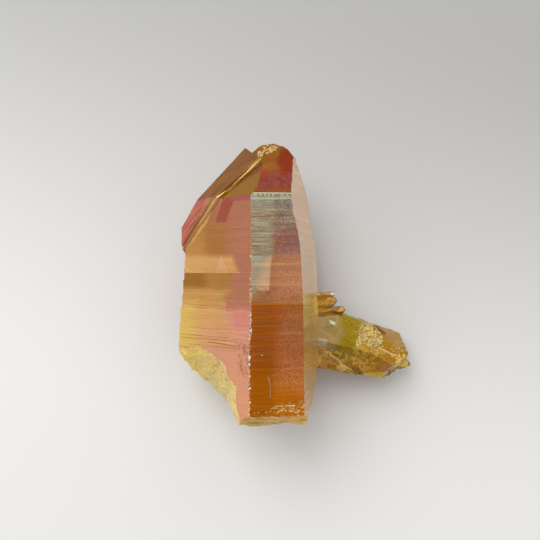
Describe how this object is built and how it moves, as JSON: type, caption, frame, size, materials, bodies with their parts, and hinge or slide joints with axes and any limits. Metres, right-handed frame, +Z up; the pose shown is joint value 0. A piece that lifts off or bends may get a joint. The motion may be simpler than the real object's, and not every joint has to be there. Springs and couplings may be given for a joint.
{
  "type": "aura quartz cluster",
  "caption": "Stout six-sided quartz crystal lying down, with a smaller crystal and short stubs grown through its right side.",
  "frame": {"origin": "centre of the cluster's bounding box, on the surface that it rests on", "axes": "+Z up, +Y along the main crystal's long axis towards its tip, +X towards the side crystal"},
  "size_m": [0.0578, 0.0648, 0.0324],
  "materials": {
    "aura_quartz": "clear quartz with natural ledges and breaks, under a thin golden, rose and mint metal-oxide film"
  },
  "bodies": {
    "root": {"quartz_cluster": "aura_quartz"}
  },
  "joints": []
}
